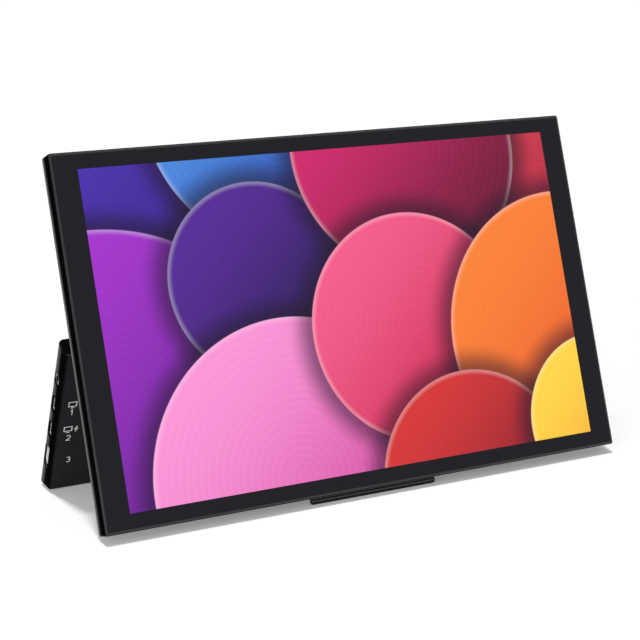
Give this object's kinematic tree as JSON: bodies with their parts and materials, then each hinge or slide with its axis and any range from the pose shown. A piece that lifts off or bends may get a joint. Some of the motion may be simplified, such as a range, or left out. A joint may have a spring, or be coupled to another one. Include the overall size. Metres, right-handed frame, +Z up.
{
  "type": "portable monitor",
  "caption": "Flat portable monitor that leans back on a full-width hinged housing, which holds the electronics and side sockets and folds against the panel's back",
  "frame": {"origin": "on the table, under the middle of the open monitor's footprint", "axes": "+X to the right seen from the front, +Y back from the screen, +Z up"},
  "size_m": [0.3322, 0.1152, 0.2021],
  "materials": {
    "case_black": "fine-grained black moulded casing",
    "inner_cover_black": "smooth satin black cover sheet",
    "frame_black": "plain black moulded frame and tape",
    "cover_glass": "smooth glass with a printed black border over a lit picture",
    "lcd_cell": "display cell with a lit picture",
    "film_white": "white diffusing and reflecting film",
    "light_guide": "clear acrylic light guide",
    "led_strip": "white strip with yellowish lamps",
    "sheet_metal": "plain pressed aluminium sheet",
    "flex_amber": "amber flexible circuit",
    "circuit_board": "green lacquered circuit board",
    "connector_white": "ivory plug housing",
    "cable_black": "black cable jacket",
    "lead_grey": "grey lead jacket",
    "foot_rubber": "matte black rubber",
    "hinge_black": "black coated cast metal",
    "hinge_steel": "turned steel",
    "screw_black": "black oxide steel",
    "screw_steel": "plain steel",
    "socket_steel": "bright plated steel",
    "socket_plastic": "black insulating plastic",
    "jack_ring_black": "black shiny ring",
    "chip_black": "black chip package",
    "speaker_black": "black speaker box",
    "key_black": "black satin key"
  },
  "bodies": {
    "panel": {"display_rear_shell": "case_black", "mid_frame": "frame_black", "cover_glass": "cover_glass", "glass_adhesive": "frame_black", "lcd_cell": "lcd_cell", "optical_films": "film_white", "light_guide": "light_guide", "led_strip": "led_strip", "reflector_sheet": "film_white", "backlight_tray": "sheet_metal", "source_flexes": "flex_amber", "panel_board": "circuit_board", "panel_connector": "connector_white", "display_cable_panel": "cable_black", "cable_conduit_panel": "case_black", "knuckle_screws": "screw_black", "foot_bar": "foot_rubber", "hinge_knuckle_left": "hinge_black", "hinge_pin_left": "hinge_steel", "friction_washers_left": "hinge_steel", "hinge_knuckle_right": "hinge_black", "hinge_pin_right": "hinge_steel", "friction_washers_right": "hinge_steel"},
    "stand": {"stand_rear_shell": "case_black", "stand_inner_cover": "inner_cover_black", "cover_screws": "screw_black", "stand_pad": "foot_rubber", "bracket_screws": "screw_steel", "cable_conduit_stand": "case_black", "display_cable_stand": "cable_black", "main_connector": "connector_white", "main_board": "circuit_board", "board_screws": "screw_steel", "video_socket_shell": "socket_steel", "video_socket_insert": "socket_plastic", "audio_jack_body": "socket_plastic", "audio_jack_ring": "jack_ring_black", "processor": "chip_black", "heat_spreader": "sheet_metal", "speaker_leads": "lead_grey", "key_lead": "lead_grey", "key_board": "circuit_board", "key_switches": "chip_black", "hinge_bracket_left": "hinge_black", "hinge_bracket_right": "hinge_black", "speaker_left": "speaker_black", "speaker_right": "speaker_black", "reversible_socket_shell_lower": "socket_steel", "reversible_socket_insert_lower": "socket_plastic", "reversible_socket_shell_upper": "socket_steel", "reversible_socket_insert_upper": "socket_plastic"},
    "power_key": {"power_key": "key_black"},
    "menu_key_upper": {"menu_key_upper": "key_black"},
    "menu_key_lower": {"menu_key_lower": "key_black"}
  },
  "joints": [
    {"name": "stand_hinge", "type": "hinge", "parent": "panel", "child": "stand", "pos_m": [0, -0.00126, 0.10499], "axis": [1, 0, 0], "range_deg": [-45.9, 44.1]},
    {"name": "power_key_press", "type": "slide", "parent": "stand", "child": "power_key", "axis": [-1, 0, 0], "range_m": [0, 0.0004], "stiffness_N_per_m": 2500},
    {"name": "menu_key_upper_press", "type": "slide", "parent": "stand", "child": "menu_key_upper", "axis": [-1, 0, 0], "range_m": [0, 0.0004], "stiffness_N_per_m": 2500},
    {"name": "menu_key_lower_press", "type": "slide", "parent": "stand", "child": "menu_key_lower", "axis": [-1, 0, 0], "range_m": [0, 0.0004], "stiffness_N_per_m": 2500}
  ]
}
